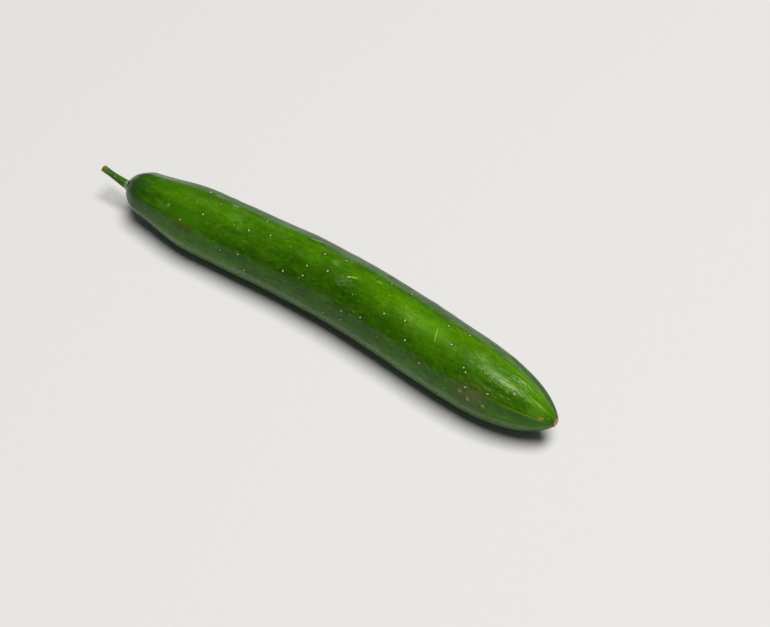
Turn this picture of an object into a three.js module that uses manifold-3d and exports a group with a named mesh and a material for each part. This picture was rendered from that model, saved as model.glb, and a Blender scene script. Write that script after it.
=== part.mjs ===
// Slim slicing cucumber with its cut stalk, lying on its side.
// Millimetres, +Z up, +X from the stem end to the blossom end.
import * as THREE from 'three';
import { ParametricGeometry } from 'three/addons/geometries/ParametricGeometry.js';
import { mergeVertices } from 'three/addons/utils/BufferGeometryUtils.js';
import Module from 'manifold-3d';

// Driving dimensions of the fruit
const FRUIT_LENGTH = 210;
const GIRTH_RADIUS = 14.2;
const AXIS_HEIGHT = 13.75;

// Stem end: a round shoulder on a slightly slimmer neck
const SHOULDER_LENGTH = 10;
const SHOULDER_ROUNDNESS = 1.74;
const NECK_LENGTH = 42;
const NECK_SHARE = 0.625;

// Blossom end: a long taper with a blunt tip
const TAPER_LENGTH = 54;
const TAPER_SOFTNESS = 3.08;
const TAPER_BLUNTNESS = 1.42;

// The belly is fullest a little past the middle
const BELLY_SHARE = 0.023;
const BELLY_PLACE = 0.64;

// Sideways bow of the axis: one, two and three half waves, and the two end offsets
const BOW = [4.47, 0.13, -1.02];
const BOW_AT_STEM = 1.96;
const BOW_AT_TIP = 0.46;

// Section: ten shallow ribs over three seed chambers, and a slow unevenness along the skin
const RIB_COUNT = 10;
const RIB_ANGLE = THREE.MathUtils.degToRad(2);
const RIB_SHARE = 0.008;
const RIB_SHARE_AT_TIP = 0.026;
const RIB_SHARE_AT_STEM = 0.014;
const RIB_FADE_LENGTH = 38;
const CHAMBER_COUNT = 3;
const CHAMBER_SHARE = 0.01;
const UNEVEN_SHARE = 0.008;
const UNEVEN_WAVE = 39;
const UNEVEN_TWIST = 2;

// Seat of the stalk, and the corky scar that the flower left
const SEAT_PLACE = 0.9;
const SCAR_PLACE = 208.9;
const SCAR_RADIUS = 1.9;
const SCAR_RIM_HEIGHT = 0.6;
const SCAR_RIM_ROUNDING = 0.24;
const SCAR_HOLLOW_RADIUS = 0.7;
const SCAR_HOLLOW_DEPTH = 0.35;

// Warts with the stub of a spine on each, scattered along the ribs and between them
const WARTS_PER_RIB = 11;
const WART_FIRST = 36;
const WART_PITCH = 14.2;
const WART_STAGGER = 0.618;
const WART_PITCH_DRIFT = 0.85;
const WART_ANGLE_DRIFT = THREE.MathUtils.degToRad(27);
const WART_DRIFT_STEP = 0.7549;
const WART_TURN_STEP = 0.5698;
const WART_SIDES = 5;
const WART_RADIUS = 1.15;
const WART_HEIGHT = 0.28;
const WART_ROOT = 0.9;
const SPINE_RADIUS = 0.42;
const SPINE_HEIGHT = 0.62;
const WART_FREE_UNDERSIDE = THREE.MathUtils.degToRad(34);

// Stalk: five-ribbed, flared where it leaves the fruit a little off its axis, slimmer towards the cut
const STALK_LENGTH = 14.8;
const STALK_RISE = 1.8;
const STALK_SWAY = 0.4;
const STALK_OFF_AXIS = { across: -0.6, up: -0.6 };
const STALK_FOOT_RADIUS = 2.35;
const STALK_ROOT_RADIUS = 1.85;
const STALK_WAIST_RADIUS = 1.32;
const STALK_END_RADIUS = 1.38;
const STALK_FLARE_SHARE = 0.2;
const STALK_TAPER_SHARE = 0.75;
const STALK_BEND_SHARE = 0.3;
const STALK_RIBS = 5;
const STALK_RIB_SHARE = 0.08;
const STALK_CUT_BEVEL = 0.25;
const SEAT_GAP = 0.3;

// Facets
const FRUIT_RINGS = 58;
const FRUIT_SIDES = 40;
const RING_CROWDING = 0.86;
const STALK_RINGS = 10;
const STALK_SIDES = 15;

const wasm = await Module();
wasm.setup();

const clamp01 = (x) => THREE.MathUtils.clamp(x, 0, 1);
const smooth = (x) => THREE.MathUtils.smoothstep(x, 0, 1);
const fraction = (x) => x - Math.floor(x);

// Mean radius of the fruit at a place along its axis
function roundRadius(place) {
  const fromTip = FRUIT_LENGTH - place;
  const share = place / FRUIT_LENGTH;
  const stemEnd = clamp01(1 - place / SHOULDER_LENGTH) ** SHOULDER_ROUNDNESS;
  const dome = (1 - stemEnd) ** (1 / SHOULDER_ROUNDNESS);
  const neck = THREE.MathUtils.lerp(NECK_SHARE, 1, smooth(place / NECK_LENGTH));
  const tipEnd = clamp01(1 - fromTip / TAPER_LENGTH) ** TAPER_SOFTNESS;
  const taper = (1 - tipEnd) ** (1 / TAPER_BLUNTNESS);
  const belly = 1 + BELLY_SHARE * Math.cos(2 * Math.PI * (share - BELLY_PLACE));
  return GIRTH_RADIUS * dome * neck * taper * belly;
}

// Sideways offset of the axis
function bowOffset(place) {
  const share = place / FRUIT_LENGTH;
  const waves = BOW.map((size, i) => size * Math.sin((i + 1) * Math.PI * share));
  const ends = BOW_AT_STEM * (1 - share) + BOW_AT_TIP * share;
  return waves.reduce((sum, wave) => sum + wave, ends);
}

// Ribs, chambers and unevenness, as a factor on the radius
function sectionFactor(place, angle) {
  const nearTip = smooth(1 - (FRUIT_LENGTH - place) / RIB_FADE_LENGTH);
  const nearStem = smooth(1 - place / RIB_FADE_LENGTH);
  const ribShare =
    RIB_SHARE + (RIB_SHARE_AT_TIP - RIB_SHARE) * nearTip + (RIB_SHARE_AT_STEM - RIB_SHARE) * nearStem;
  const ribs = ribShare * Math.cos(RIB_COUNT * (angle - RIB_ANGLE));
  const chambers = CHAMBER_SHARE * Math.cos(CHAMBER_COUNT * (angle - RIB_ANGLE));
  const wave = (2 * Math.PI * place) / UNEVEN_WAVE;
  const uneven = UNEVEN_SHARE * Math.sin(wave) * Math.cos(UNEVEN_TWIST * angle + wave / 3);
  return 1 + ribs + chambers + uneven;
}

// A point at a radius from the axis, pressed flat where the fruit lies on its underside
function pointAround(place, angle, radius, target = new THREE.Vector3()) {
  const across = bowOffset(place) + radius * Math.cos(angle);
  const height = AXIS_HEIGHT + radius * Math.sin(angle);
  return target.set(place, across, Math.max(height, 0));
}

function skinPoint(place, angle, target) {
  return pointAround(place, angle, roundRadius(place) * sectionFactor(place, angle), target);
}

function skinNormal(place, angle) {
  const step = 0.01;
  const along = skinPoint(place + step, angle).sub(skinPoint(place - step, angle));
  const around = skinPoint(place, angle + step).sub(skinPoint(place, angle - step));
  return around.cross(along).normalize();
}

// One closed body of shared vertices, with the empty triangles at seams and poles left out
function closedGeometry(geometry) {
  geometry.deleteAttribute('normal');
  geometry.deleteAttribute('uv');
  const merged = mergeVertices(geometry, 1e-4);
  const index = merged.getIndex().array;
  const kept = [];
  for (let i = 0; i < index.length; i += 3) {
    const [a, b, c] = index.slice(i, i + 3);
    if (a !== b && b !== c && c !== a) {
      kept.push(a, b, c);
    }
  }
  merged.setIndex(kept);
  return merged;
}

function toSolid(geometry) {
  const closed = closedGeometry(geometry);
  const vertProperties = new Float32Array(closed.getAttribute('position').array);
  const triVerts = new Uint32Array(closed.getIndex().array);
  return new wasm.Manifold(new wasm.Mesh({ numProp: 3, vertProperties, triVerts }));
}

function fromSolid(solid) {
  const { vertProperties, triVerts } = solid.getMesh();
  const geometry = new THREE.BufferGeometry();
  geometry.setAttribute('position', new THREE.BufferAttribute(new Float32Array(vertProperties), 3));
  geometry.setIndex(new THREE.BufferAttribute(new Uint32Array(triVerts), 1));
  geometry.computeVertexNormals();
  return geometry;
}

// Rings of the fruit from the stalk's seat to the scar, crowded towards both ends.
// A ring that states no radius follows the skin.
function fruitRings() {
  const rings = [{ place: SEAT_PLACE, radius: 0 }];
  for (let i = 0; i <= FRUIT_RINGS; i++) {
    const step = i / FRUIT_RINGS;
    const eased = step - (RING_CROWDING * Math.sin(2 * Math.PI * step)) / (2 * Math.PI);
    rings.push({ place: THREE.MathUtils.lerp(SEAT_PLACE, SCAR_PLACE, eased) });
  }
  const rimPlace = SCAR_PLACE + SCAR_RIM_HEIGHT;
  rings.push({ place: rimPlace - SCAR_RIM_ROUNDING, radius: SCAR_RADIUS });
  rings.push({ place: rimPlace, radius: SCAR_RADIUS - 2 * SCAR_RIM_ROUNDING });
  rings.push({ place: rimPlace - SCAR_HOLLOW_DEPTH, radius: SCAR_HOLLOW_RADIUS });
  rings.push({ place: rimPlace - SCAR_HOLLOW_DEPTH, radius: 0 });
  return rings;
}

function fruitBody() {
  const rings = fruitRings();
  const surface = (around, along, target) => {
    const ring = rings[Math.round(along * (rings.length - 1))];
    const angle = RIB_ANGLE + 2 * Math.PI * around;
    if (ring.radius === undefined) {
      skinPoint(ring.place, angle, target);
    } else {
      pointAround(ring.place, angle, ring.radius, target);
    }
  };
  return new ParametricGeometry(surface, FRUIT_SIDES, rings.length - 1);
}

// A low wart whose root lies well under the skin, with a spine stub on top
function wart(place, angle) {
  const outline = [
    new THREE.Vector2(0, -WART_ROOT),
    new THREE.Vector2(WART_RADIUS, -WART_ROOT),
    new THREE.Vector2(SPINE_RADIUS, WART_HEIGHT),
    new THREE.Vector2(0, SPINE_HEIGHT),
  ];
  const shape = new THREE.LatheGeometry(outline, WART_SIDES);
  const upright = new THREE.Vector3(0, 1, 0);
  const turn = new THREE.Quaternion().setFromUnitVectors(upright, skinNormal(place, angle));
  shape.applyQuaternion(turn);
  shape.translate(...skinPoint(place, angle).toArray());
  return shape;
}

// Places of the warts, staggered and then drifting; the side that the fruit lies on has none
function wartPlaces() {
  const places = [];
  for (let i = 0; i < RIB_COUNT * WARTS_PER_RIB; i++) {
    const rib = i % RIB_COUNT;
    const row = Math.floor(i / RIB_COUNT);
    const drift = fraction(i * WART_DRIFT_STEP) - 0.5;
    const turn = fraction(i * WART_TURN_STEP) - 0.5;
    const steps = row + fraction(rib * WART_STAGGER) + WART_PITCH_DRIFT * drift;
    const angle = RIB_ANGLE + (2 * Math.PI * rib) / RIB_COUNT + WART_ANGLE_DRIFT * turn;
    const fromUnderside = Math.acos(-Math.sin(angle));
    if (fromUnderside > WART_FREE_UNDERSIDE) {
      places.push({ place: WART_FIRST + WART_PITCH * steps, angle });
    }
  }
  return places;
}

function fruitGeometry() {
  const warts = wartPlaces().map(({ place, angle }) => toSolid(wart(place, angle)));
  return fromSolid(wasm.Manifold.union([toSolid(fruitBody()), ...warts]));
}

// Mean radius of the stalk: flared at the fruit, tapering to a waist, a little swollen at the cut
function stalkRadius(share) {
  const flare = clamp01(1 - share / STALK_FLARE_SHARE) ** 2;
  const taper = smooth(share / STALK_TAPER_SHARE);
  const swell = smooth((share - STALK_TAPER_SHARE) / (1 - STALK_TAPER_SHARE));
  const body = THREE.MathUtils.lerp(STALK_ROOT_RADIUS, STALK_WAIST_RADIUS, taper);
  const atFoot = flare * (STALK_FOOT_RADIUS - STALK_ROOT_RADIUS);
  const atCut = swell * (STALK_END_RADIUS - STALK_WAIST_RADIUS);
  return body + atFoot + atCut;
}

function stalkRings() {
  const rings = [{ share: 0, radius: 0 }];
  const bevelShare = STALK_CUT_BEVEL / STALK_LENGTH;
  for (let i = 0; i <= STALK_RINGS; i++) {
    const share = (i / STALK_RINGS) * (1 - bevelShare);
    rings.push({ share, radius: stalkRadius(share) });
  }
  rings.push({ share: 1, radius: STALK_END_RADIUS - STALK_CUT_BEVEL });
  rings.push({ share: 1, radius: 0 });
  return rings;
}

// Ribbed stalk on a curve that leaves the seat square to it and then lifts
function stalkGeometry() {
  const across = bowOffset(0) + STALK_OFF_AXIS.across;
  const start = new THREE.Vector3(SEAT_PLACE - SEAT_GAP, across, AXIS_HEIGHT + STALK_OFF_AXIS.up);
  const bend = start.clone().add(new THREE.Vector3(-STALK_LENGTH * STALK_BEND_SHARE, 0, 0));
  const end = start.clone().add(new THREE.Vector3(-STALK_LENGTH, STALK_SWAY, STALK_RISE));
  const centre = new THREE.QuadraticBezierCurve3(start, bend, end);
  const rings = stalkRings();
  const surface = (around, along, target) => {
    const ring = rings[Math.round(along * (rings.length - 1))];
    const angle = 2 * Math.PI * around;
    const radius = ring.radius * (1 + STALK_RIB_SHARE * Math.cos(STALK_RIBS * angle));
    const heading = centre.getTangentAt(ring.share);
    const side = new THREE.Vector3(0, 0, 1).cross(heading).normalize();
    const up = heading.clone().cross(side);
    target.copy(centre.getPointAt(ring.share));
    target.addScaledVector(side, radius * Math.cos(angle));
    target.addScaledVector(up, radius * Math.sin(angle));
  };
  return closedGeometry(new ParametricGeometry(surface, STALK_SIDES, rings.length - 1));
}

const skinMaterial = new THREE.MeshStandardMaterial({ color: 0x3c6c0a, roughness: 0.42, metalness: 0 });
const stalkMaterial = new THREE.MeshStandardMaterial({ color: 0x465f17, roughness: 0.7, metalness: 0 });

const fruit = new THREE.Mesh(fruitGeometry(), skinMaterial);
fruit.name = 'fruit';

const stalk = new THREE.Mesh(stalkGeometry(), stalkMaterial);
stalk.name = 'stalk';

// The origin is under the middle of the whole length and width, on the surface it lies on
const cucumber = new THREE.Group();
cucumber.add(fruit, stalk);
const reach = new THREE.Box3().setFromObject(cucumber);
const middle = reach.getCenter(new THREE.Vector3());
cucumber.position.set(-middle.x, -middle.y, -reach.min.z);

export default cucumber;
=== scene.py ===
"""A slim slicing cucumber with its cut stalk, lying on a pale studio floor.

Metres, +Z up, +X from the stem end to the blossom end.
"""
import math

import bpy
from mathutils import Matrix, Vector


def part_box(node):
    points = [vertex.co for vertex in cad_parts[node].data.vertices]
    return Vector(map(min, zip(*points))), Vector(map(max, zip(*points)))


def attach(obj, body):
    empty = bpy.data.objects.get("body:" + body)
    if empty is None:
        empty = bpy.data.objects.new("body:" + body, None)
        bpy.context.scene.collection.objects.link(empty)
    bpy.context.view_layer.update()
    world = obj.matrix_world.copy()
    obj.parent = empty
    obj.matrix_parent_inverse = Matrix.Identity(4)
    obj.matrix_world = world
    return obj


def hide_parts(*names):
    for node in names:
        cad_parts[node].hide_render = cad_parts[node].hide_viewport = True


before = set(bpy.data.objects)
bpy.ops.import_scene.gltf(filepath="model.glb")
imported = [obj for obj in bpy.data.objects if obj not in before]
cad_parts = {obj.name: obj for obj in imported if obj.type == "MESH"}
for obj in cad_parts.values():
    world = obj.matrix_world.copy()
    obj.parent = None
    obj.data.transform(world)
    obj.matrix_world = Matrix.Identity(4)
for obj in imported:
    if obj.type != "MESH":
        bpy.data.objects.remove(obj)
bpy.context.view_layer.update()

MM = 0.001
FULL_TURN = 2 * math.pi
MATH = "ShaderNodeMath"
RANGE = "ShaderNodeMapRange"
VECTOR_MATH = "ShaderNodeVectorMath"
SEPARATE = "ShaderNodeSeparateXYZ"
COMBINE = "ShaderNodeCombineXYZ"
NOISE = "ShaderNodeTexNoise"
MIX = "ShaderNodeMix"
BUMP = "ShaderNodeBump"
READ = "ShaderNodeAttribute"
NAMED = "GeometryNodeInputNamedAttribute"
POSITION = "GeometryNodeInputPosition"
NORMAL = "GeometryNodeInputNormal"
SET_POSITION = "GeometryNodeSetPosition"
MERGE = "GeometryNodeMergeByDistance"
NEAREST = "GeometryNodeSampleNearestSurface"
SHADE_SMOOTH = "GeometryNodeSetShadeSmooth"
SMOOTH = {"interpolation_type": "SMOOTHSTEP"}
VECTORS = {"data_type": "FLOAT_VECTOR"}

# Driving dimensions of the fruit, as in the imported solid
FRUIT_LENGTH = 210 * MM
GIRTH_RADIUS = 14.2 * MM
AXIS_HEIGHT = 13.75 * MM
SEAT_PLACE = 0.9 * MM
SCAR_PLACE = 208.9 * MM
BOW_AT_STEM = 1.96 * MM
BOW_AT_TIP = 0.46 * MM
RIB_COUNT = 10
RIB_ANGLE = math.radians(2)
CHAMBER_COUNT = 3
STALK_START = 0.6 * MM
STALK_ACROSS = -0.6 * MM
STALK_UP = -0.6 * MM
SCAR_HEIGHT = 0.6 * MM

# The rule of the skin: outline, bow, ribs, warts and fine relief
SKIN_SIZES = {
    "Length": FRUIT_LENGTH,
    "Girth radius": GIRTH_RADIUS,
    "Axis height": AXIS_HEIGHT,
    "Seat place": SEAT_PLACE,
    "Scar place": SCAR_PLACE,
    "Shoulder length": 10 * MM,
    "Shoulder roundness": 1.74,
    "Neck length": 42 * MM,
    "Neck share": 0.625,
    "Taper length": 54 * MM,
    "Taper softness": 3.08,
    "Taper bluntness": 1.42,
    "Belly share": 0.023,
    "Belly place": 0.64,
    "Bow one wave": 4.47 * MM,
    "Bow two waves": 0.13 * MM,
    "Bow three waves": -1.02 * MM,
    "Bow at stem": BOW_AT_STEM,
    "Bow at tip": BOW_AT_TIP,
    "Rib count": RIB_COUNT,
    "Rib angle": RIB_ANGLE,
    "Rib share": 0.008,
    "Rib share at tip": 0.026,
    "Rib share at stem": 0.014,
    "Rib fade length": 38 * MM,
    "Chamber count": CHAMBER_COUNT,
    "Chamber share": 0.01,
    "Uneven share": 0.008,
    "Uneven wave": 39 * MM,
    "Uneven twist": 2.0,
    "Rings": 420,
    "Sides": 216,
    "Ring crowding": 0.6,
    "Dent height": 0.16 * MM,
    "Dent width": 21 * MM,
    "Pucker height": 0.05 * MM,
    "Pucker width": 3.6 * MM,
    "Warts per rib": 11,
    "Wart first": 36 * MM,
    "Wart pitch": 14.2 * MM,
    "Wart stagger": 0.618,
    "Wart pitch drift": 0.85,
    "Wart angle drift": math.radians(27),
    "Wart drift step": 0.7549,
    "Wart turn step": 0.5698,
    "Wart free underside": math.radians(34),
    "Wart radius": 1.1 * MM,
    "Wart height": 0.26 * MM,
    "Hollow radius": 2.6 * MM,
    "Hollow depth": 0.16 * MM,
    "Spine radius": 0.45 * MM,
    "Spine tip radius": 0.31 * MM,
    "Spine height": 0.44 * MM,
    "Spine lean": math.radians(16),
    "Seed": 7,
    "Make spines": False,
}

# The slow unevenness winds once round the fruit in this many of its waves
UNEVEN_WAVES_PER_TURN = 3.0

# A spine's mesh, how deep it stands in its wart, and the smallest and largest of them
SPINE_SIDES = 9
SPINE_STEPS = 3
SPINE_SUNK_SHARE = 0.2
SPINE_LEAST = (0.65, 0.65, 0.5)
SPINE_MOST = (1.2, 1.2, 1.15)

# What tells the end rows of a grid, which close to a point, from the rest
INNER_HALF = 0.49999
FIRST_ROW = 0.0001
MERGE_DISTANCE = 0.001 * MM

# The lowest that a point of the skin may be, so that it doesn't pass the floor
LOWEST_POINT = (-1.0, -1.0, 0.0)

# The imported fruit's end faces: the seat of the stalk, just behind which the axis starts, and
# the foot of the blossom scar
END_SLICE = 0.01 * MM
fruit_low, fruit_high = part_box("fruit")
fruit_points = [v.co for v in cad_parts["fruit"].data.vertices]
seat_points = [p for p in fruit_points if p.x < fruit_low.x + END_SLICE]
seat = sum(seat_points, Vector()) / len(seat_points)
AXIS_START = Vector((fruit_low.x - SEAT_PLACE, seat.y - BOW_AT_STEM, 0))
tip_points = [p for p in fruit_points if p.x > fruit_high.x - END_SLICE]
tip_middle = sum(tip_points, Vector()) / len(tip_points)

STALK_SIZES = {
    "Start": AXIS_START + Vector((STALK_START, BOW_AT_STEM + STALK_ACROSS, AXIS_HEIGHT + STALK_UP)),
    "Length": 14.8 * MM,
    "Rise": 1.8 * MM,
    "Sway": 0.4 * MM,
    "Bend share": 0.3,
    "Sunk length": 1.2 * MM,
    "Foot radius": 2.35 * MM,
    "Root radius": 1.85 * MM,
    "Waist radius": 1.32 * MM,
    "End radius": 1.38 * MM,
    "Flare share": 0.2,
    "Taper share": 0.75,
    "Ribs": 5,
    "Rib share": 0.08,
    "Cut share": 0.1,
    "Cut bevel": 0.25 * MM,
    "Cut hollow": 0.3 * MM,
    "Torn height": 0.4 * MM,
    "Fibre height": 0.16 * MM,
    "Fibre width": 0.6 * MM,
    "Rings": 160,
    "Sides": 100,
}

# How sharply the stalk flares at its foot, how finely its curve is cut, how much of it is the sunk
# foot, and the grain of its torn end and of its fibres
FLARE_POWER = 2.0
CURVE_STEPS = 64
SUNK_SHARE = 0.02
TORN_WIDTH = 0.5 * MM
FIBRE_STRETCH = (0.12, 1.0, 1.0)

# Shares of the cut end where its bevel and its hollow come in
BEVEL_RUN = (0.0, 0.2)
HOLLOW_RUN = (0.3, 0.9)

SCAR_SIZES = {
    "Centre": Vector((fruit_high.x - SCAR_HEIGHT, tip_middle.y, AXIS_HEIGHT)),
    "Radius": 1.92 * MM,
    "Height": SCAR_HEIGHT,
    "Sunk depth": 0.5 * MM,
    "Flange share": 0.1,
    "Dent depth": 0.16 * MM,
    "Pit depth": 0.34 * MM,
    "Pit turn": math.radians(40),
    "Lump height": 0.14 * MM,
    "Rings": 48,
    "Sides": 96,
}

# How full the scar's dome is, how far it is out of round, and its lumps
DOME_POWER = 0.7
OUT_OF_ROUND = 0.04
LUMP_WIDTH = 0.9 * MM
LUMP_LEVEL = 0.6
PIT_COUNT = 3

# Where the pits lie round the scar, as a cosine; then pits, dent and rim as shares of its radius
PIT_ROUND = (0.35, 0.9)
PIT_BANDS = ((0.14, 0.36), (0.74, 0.52))
DENT_REACH = (0.85, 0.3)
RIM_REACH = (0.9, 0.99)

# Tone of the skin: 0 is its darkest green, 1 its palest
MEAN_TONE = 0.4
CHAMBER_TONE = 0.17
CHAMBER_ANGLE = math.radians(82)
CHAMBER_WANDER = math.radians(30)

# Changes of tone: the axis they go by (0 along, 1 across, 2 up), where on it they start and are
# full, in millimetres, and how much they are. The last two are painted shade, not tone of the skin
TONE_CHANGES = (
    (0, 16, 38, 0.08), (0, 58, 84, -0.09), (0, 112, 146, 0.1), (0, 168, 188, 0.04),
    # Painted shade: darker underneath the axis, and darker towards +Y, the far side
    (2, -1, -8, -0.22), (1, 2, 11, -0.28),
)

# Streaks and clouds of tone: length and width in millimetres, and swing
TONE_NOISES = ((40, 2.0, 0.24), (16, 8, 0.46), (7, 4, 0.46), (2.6, 1.5, 0.42), (1.1, 0.7, 0.28))

# The green at each tone
SKIN_GREENS = (
    (0.0, "#183a00"), (0.28, "#284f00"), (0.52, "#356300"), (0.76, "#477900"), (1.0, "#6f9a10"),
)

# Masks, each as a range: the value where it starts and where it is full, then the strength at each,
# or none where that is 0 and 1. The rib lines start later, the further they are from LINE_ANGLE
SHOULDER_WANDER = 9 * MM
SHOULDER_LAYERS = ((11 * MM, 23 * MM, 0.92, 0.0, "#20401a"), (4 * MM, 6 * MM, 0.75, 0.0, "#6d7a58"))
LINE_CREST = (0.84, 1.0)
LINE_EVERY_OTHER = (-1.0, 1.0, 0.25, 1.0)
LINE_ANGLE = math.radians(74)
LINE_DELAY = (1.0, 0.3, 0.0, -26 * MM)
LINE_START = (146 * MM, 190 * MM, 0.0, 0.75)
LINE_END = (209 * MM, 205.5 * MM, 0.0, 0.8)
LINE_GAPS = (0.34, 0.6, 0.15, 0.8)
FOOT_RING = (1.3 * MM, 0.6 * MM, 0.0, 0.72)
BLOOM_CLOUDS = (0.53, 0.74, 0.0, 0.13)
FRECKLES = (0.54, 0.78, 0.0, 0.24)
UNRUBBED = (-3 * MM, -9 * MM, 0.0, 0.3)
WRINKLE_RUN = (120 * MM, 185 * MM, 0.45, 1.2)
CRINKLE_RUN = (160 * MM, 182 * MM, 0.04, 0.42)
SPINE_CHALK = (0.3, 0.75)
STALK_FIBRES = (0.36, 0.66)
STALK_PALE = (0.56, 0.68, 0.0, 0.55)
STALK_FOOT = (0.15, 0.27, 0.85, 0.0)
STALK_DRIED = (0.88, 1.04, 0.0, 0.9)
STALK_CUT = (0.12, 0.3, 0.0, 0.85)
STALK_RAGGED = 0.22

# Roughness of the skin where it is cleanest, and what bloom, marks and patches add to it
CLEAN_ROUGHNESS = 0.15
BLOOM_ROUGHNESS = 0.8
MARK_ROUGHNESS = 0.3
PATCH_ROUGHNESS = 0.12

# What blotches add to the roughness of the stalk, and its least
STALK_ROUGHNESS = (0.3, 0.38)

# Relief that only the shaders draw
WRINKLE_HEIGHT = 0.22 * MM
FIBRE_RELIEF = 0.08 * MM
CORK_RELIEF = 0.12 * MM
CORK_GRAIN = 0.5 * MM
PAPER_TOOTH = 2 * MM

# Small dots: spacing and radius, the share of places without one, strength and colour.
# Out to DOT_CORE of its radius a dot is at full strength
DOT_CORE = 0.4
DOTS = (
    (3.6 * MM, 0.36 * MM, 0.35, 0.62, "#a9b04a"),  # dried sap
    # Dark dots of warts that have lost their spine: their darkness is painted shade of a dimple
    (8.5 * MM, 0.75 * MM, 0.3, 0.92, "#2a4636"),  # warts that have lost their spine
    (11 * MM, 0.42 * MM, 0.68, 0.85, "#c9c893"),  # spines worn down to the skin
)

# Marks of growing and handling, and one painted highlight: place along the fruit and angle round
# it, size in millimetres on the skin as rolled out at full girth, the turn of the long side, how
# ragged and how soft the edge is, and its strength and colour
MARK_ROWS = (
    (40, 134, 52, 30, 0, 0.5, 1.3, 0.62, "#3d7400"),
    (46, 68, 92, 34, 0, 0.5, 1.3, 0.78, "#2d5a00"),
    (152, 107, 50, 15, 0, 0.6, 1.3, 0.42, "#5a9008"),
    (150, 92, 40, 14, 0, 0.6, 1.3, 0.35, "#4f8a04"),
    (203, 122, 14, 34, 0, 0.8, 1.3, 0.5, "#62931c"),
    (38, 151, 17, 7, -8, 1.4, 1.0, 0.7, "#434208"),
    (41.5, 152.8, 6, 3.6, 0, 1.0, 0.8, 0.52, "#2e2a06"),
    (179.3, 154.5, 26, 16, 0, 4.5, 1.2, 0.54, "#5f5c34"),
    (181.1, 153, 13, 8, 0, 3.5, 1.1, 0.44, "#5c6642"),
    (174.4, 159, 2.4, 1.7, 0, 0.9, 0.5, 0.6, "#a39a60"),
    (178.2, 166, 2.6, 1.7, 30, 0.9, 0.5, 0.6, "#a39a60"),
    (184.3, 165, 2.4, 1.8, 0, 0.9, 0.5, 0.6, "#a39a60"),
    (182.9, 142.4, 9, 1.8, 0, 1.6, 0.6, 0.6, "#4a4814"),
    (204.9, 139, 2.2, 5, 10, 1.2, 0.8, 0.8, "#a08444"),
    (204.9, 138, 1.1, 2.2, 0, 0.6, 0.5, 0.7, "#6a4a20"),
    (202, 104, 13, 3.4, 0, 2.0, 1.2, 0.55, "#86b83a"),
    # Painted highlight: a pale cloud under the gleam by the tip, so that the gleam looks broader
    (190, 109, 32, 9, 0, 3.0, 1.3, 0.5, "#6f9c2e"),
    (114.6, 98.8, 6.0, 0.7, -23, 1.0, 0.5, 0.8, "#8fbc5c"),
    (123.2, 80.6, 7.5, 0.7, 0, 6.0, 0.9, 0.6, "#9ab86a"),
    (92.7, 60.5, 12, 1.0, -24, 2.2, 0.7, 0.6, "#a2b03c"),
    (156.3, 103.8, 8.0, 0.6, 68, 1.0, 0.5, 0.62, "#93b84c"),
    (16.1, 60, 4, 1.6, 0, 0.9, 0.5, 0.6, "#7f9a60"),
    (28.6, 126, 1.5, 2.2, 0, 0.9, 0.6, 0.55, "#8f9a58"),
    (53.3, 72, 6, 2.4, 0, 2.6, 0.8, 0.45, "#7f9a60"),
    (45.2, 65, 8, 3.0, 0, 3.0, 0.9, 0.4, "#7f9a60"),
    (112.6, 111, 11, 7, 0, 3.5, 1.5, 0.24, "#7ba45f"),
    (58.4, 96.8, 9, 7, 0, 3.5, 1.5, 0.22, "#6f9f58"),
    (61.7, 109.6, 5, 5, 0, 2.2, 1.5, 0.28, "#6f9f58"),
    (104.8, 91.4, 7, 3, 0, 2.6, 1.2, 0.34, "#7fa660"),
    (143.6, 103.3, 17, 10, 0, 3.6, 1.6, 0.2, "#8fb64c"),
    (176.7, 92.4, 9, 6, 0, 2.6, 1.4, 0.28, "#7fa660"),
)
MARK_FIELDS = ("place", "angle", "long", "wide", "turn", "ragged", "soft", "strength", "colour")
MARKS = [dict(zip(MARK_FIELDS, row)) for row in MARK_ROWS]

# How deep a mark's oval goes, where its eaten edge starts, and how far in it is at full strength
MARK_DEPTH = 6 * MM
MARK_EDGE = 0.05
MARK_WINDOW = 0.35


def linear(hex_colour):
    """An sRGB hex colour as linear red, green, blue and alpha."""
    parts = [int(hex_colour[i:i + 2], 16) / 255 for i in (1, 3, 5)]
    return [p / 12.92 if p <= 0.04045 else ((p + 0.055) / 1.055) ** 2.4 for p in parts] + [1.0]


def wire(tree, node, wires):
    """Gives a node's inputs a value or link each, by name from a dict or in order from a tuple."""
    sockets = [s for s in node.inputs if s.enabled]
    if isinstance(wires, dict):
        sockets = [next(s for s in sockets if s.name == name) for name in wires]
        wires = wires.values()
    for socket, value in zip(sockets, wires):
        if isinstance(value, bpy.types.Node):
            value = next(s for s in value.outputs if s.enabled)
        if isinstance(value, bpy.types.NodeSocket):
            tree.links.new(value, socket)
        else:
            socket.default_value = value


def add(tree, kind, wires=(), operation=None, **settings):
    """Adds one node with its operation, its other settings and what goes into it."""
    node = tree.nodes.new(kind)
    if operation:
        node.operation = operation
    for name, value in settings.items():
        setattr(node, name, value)
    wire(tree, node, wires)
    return node


def new_tree(name, sizes):
    """A geometry tree with a named input for each size and for the material."""
    tree = bpy.data.node_groups.new(name, "GeometryNodeTree")
    tree.interface.new_socket("Geometry", in_out="OUTPUT", socket_type="NodeSocketGeometry")
    kinds = {bool: "Bool", int: "Int", float: "Float", Vector: "Vector"}
    inputs = [(label, kinds[type(value)]) for label, value in sizes.items()]
    for label, kind in (*inputs, ("Material", "Material")):
        tree.interface.new_socket(label, in_out="INPUT", socket_type=f"NodeSocket{kind}")
    entry = add(tree, "NodeGroupInput")
    return tree, {s.name: s for s in entry.outputs if s.name}


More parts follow.
